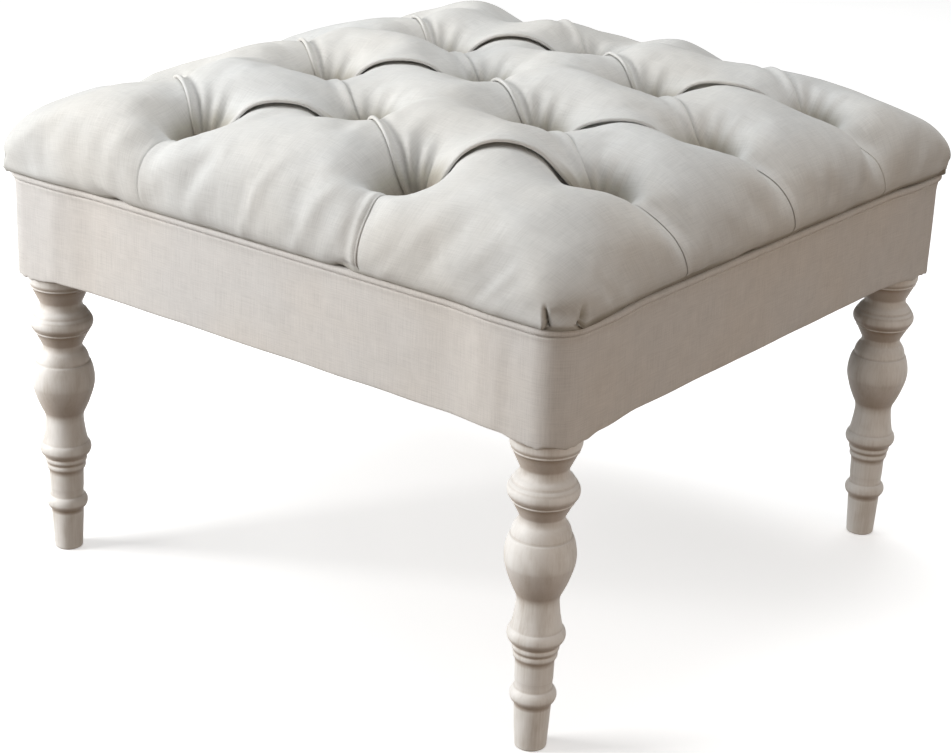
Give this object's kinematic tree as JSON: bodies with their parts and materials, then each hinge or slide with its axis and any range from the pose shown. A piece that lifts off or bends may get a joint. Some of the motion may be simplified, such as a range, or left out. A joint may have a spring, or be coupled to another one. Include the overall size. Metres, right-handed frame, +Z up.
{
  "type": "upholstered stool",
  "caption": "Square upholstered footstool with a deep diamond-tufted top, a welted fabric apron and turned limed-wood legs, for resting the feet or as an extra seat.",
  "frame": {"origin": "floor level at the middle of the stool, between the four legs", "axes": "+Z up; the front is -Y and the left is -X; rows of tufts run along X"},
  "size_m": [0.6092, 0.6092, 0.4615],
  "materials": {
    "leg_wood": "limed and wiped back, matt",
    "frame_wood": "planed beech, bare",
    "dowel_wood": "bare, fluted dowel stock",
    "plywood": "bare birch plywood",
    "cover_cloth": "pale natural linen weave, slight slub",
    "wadding": "soft polyester wadding",
    "foam": "open-cell seat foam",
    "twine": "waxed tufting twine and cotton cord",
    "dust_cloth": "black non-woven cloth",
    "card": "plain tacking card",
    "screw_steel": "yellow zinc plated",
    "staple_steel": "bright galvanised wire"
  },
  "bodies": {
    "root": {"leg_front_left": "leg_wood", "leg_front_right": "leg_wood", "leg_rear_left": "leg_wood", "leg_rear_right": "leg_wood", "rail_front": "frame_wood", "rail_rear": "frame_wood", "rail_left": "frame_wood", "rail_right": "frame_wood", "rail_dowels": "dowel_wood", "corner_brace_front_left": "frame_wood", "corner_brace_front_right": "frame_wood", "corner_brace_rear_left": "frame_wood", "corner_brace_rear_right": "frame_wood", "brace_screws": "screw_steel", "deck_screws": "screw_steel", "deck_board": "plywood", "foam_cushion": "foam", "wadding_layer": "wadding", "top_cover": "cover_cloth", "tuft_buttons": "cover_cloth", "button_twines": "twine", "twine_staples": "staple_steel", "cover_staples": "staple_steel", "piping_cord": "twine", "piping_cover": "cover_cloth", "tack_strip": "card", "apron_padding": "wadding", "apron_cover": "cover_cloth", "dust_cover": "dust_cloth", "underside_staples": "staple_steel"}
  },
  "joints": []
}
